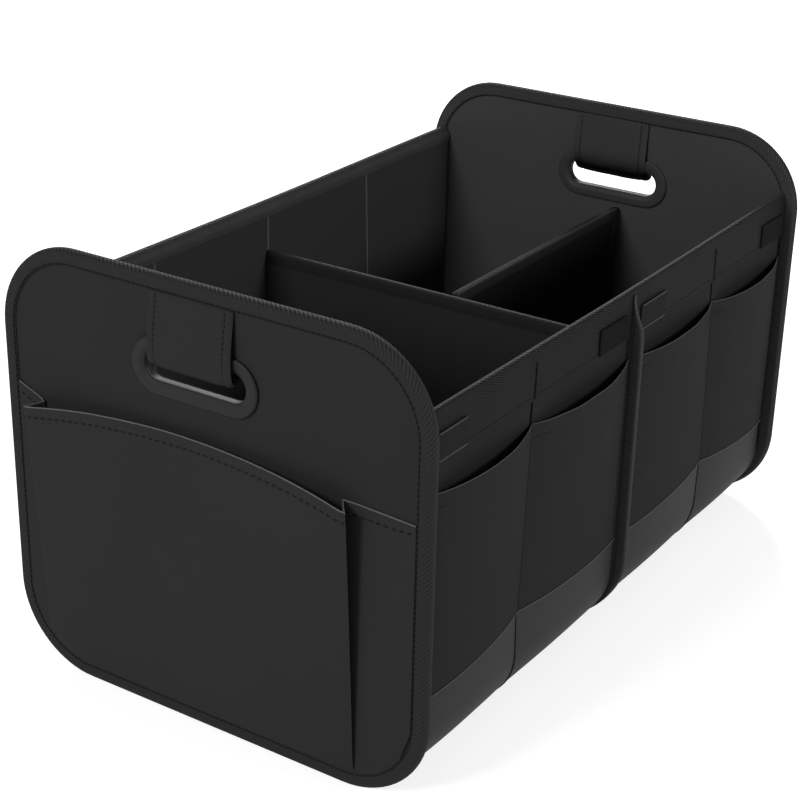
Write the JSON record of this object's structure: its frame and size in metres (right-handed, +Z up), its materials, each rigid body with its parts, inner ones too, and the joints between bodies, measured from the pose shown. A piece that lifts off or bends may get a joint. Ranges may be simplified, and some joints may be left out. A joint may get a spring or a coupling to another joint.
{
  "type": "car trunk organizer",
  "caption": "Open folding car trunk organizer in black cloth over stiff boards, with hand slots in the end panels, outside pockets, and dividers inside.",
  "frame": {"origin": "on the ground below the middle of the organizer", "axes": "+X along the length from the near end panel to the far one, +Y across to the left long wall, +Z up"},
  "size_m": [0.6336, 0.381, 0.355],
  "materials": {
    "panel_cloth": "matt woven cloth",
    "pocket_cloth": "matt woven cloth",
    "lower_cloth": "smooth coated cloth",
    "lining_cloth": "matt woven cloth",
    "edge_tape": "ribbed woven tape",
    "fastener": "hook-and-loop pile",
    "slot_plastic": "fine-grained moulded plastic",
    "stiff_board": "plain board"
  },
  "bodies": {
    "root": {"near_end_cover": "panel_cloth", "near_end_board": "stiff_board", "near_end_lining": "panel_cloth", "near_end_binding": "edge_tape", "near_grommet_outer": "slot_plastic", "near_grommet_inner": "slot_plastic", "near_handle_wrap": "panel_cloth", "near_end_pocket": "pocket_cloth", "far_end_cover": "panel_cloth", "far_end_board": "stiff_board", "far_end_lining": "panel_cloth", "far_end_binding": "edge_tape", "far_grommet_outer": "slot_plastic", "far_grommet_inner": "slot_plastic", "far_handle_wrap": "panel_cloth", "far_end_pocket": "pocket_cloth", "right_wall_cloth_near": "panel_cloth", "right_wall_cloth_far": "panel_cloth", "right_board_1": "stiff_board", "right_board_2": "stiff_board", "right_board_3": "stiff_board", "right_board_4": "stiff_board", "right_top_band": "edge_tape", "right_pocket_1": "pocket_cloth", "right_pocket_2": "pocket_cloth", "right_pocket_3": "pocket_cloth", "right_pocket_4": "pocket_cloth", "right_patch_1": "fastener", "right_patch_2": "fastener", "right_patch_3": "fastener", "right_patch_4": "fastener", "left_wall_cloth_near": "panel_cloth", "left_wall_cloth_far": "panel_cloth", "left_board_1": "stiff_board", "left_board_2": "stiff_board", "left_board_3": "stiff_board", "left_board_4": "stiff_board", "left_top_band": "edge_tape", "left_pocket_1": "pocket_cloth", "left_pocket_2": "pocket_cloth", "left_pocket_3": "pocket_cloth", "left_pocket_4": "pocket_cloth", "left_patch_1": "fastener", "left_patch_2": "fastener", "left_patch_3": "fastener", "left_patch_4": "fastener", "bottom_near": "lower_cloth", "bottom_far": "lower_cloth", "lining_near": "lining_cloth", "lining_far": "lining_cloth", "middle_seam_binding": "edge_tape", "middle_divider_cover": "lining_cloth", "middle_divider_board": "stiff_board", "middle_divider_binding": "edge_tape", "long_divider_cover": "lining_cloth", "long_divider_board": "stiff_board", "long_divider_binding": "edge_tape", "base_board_near": "lining_cloth", "base_board_far": "lining_cloth"}
  },
  "joints": []
}
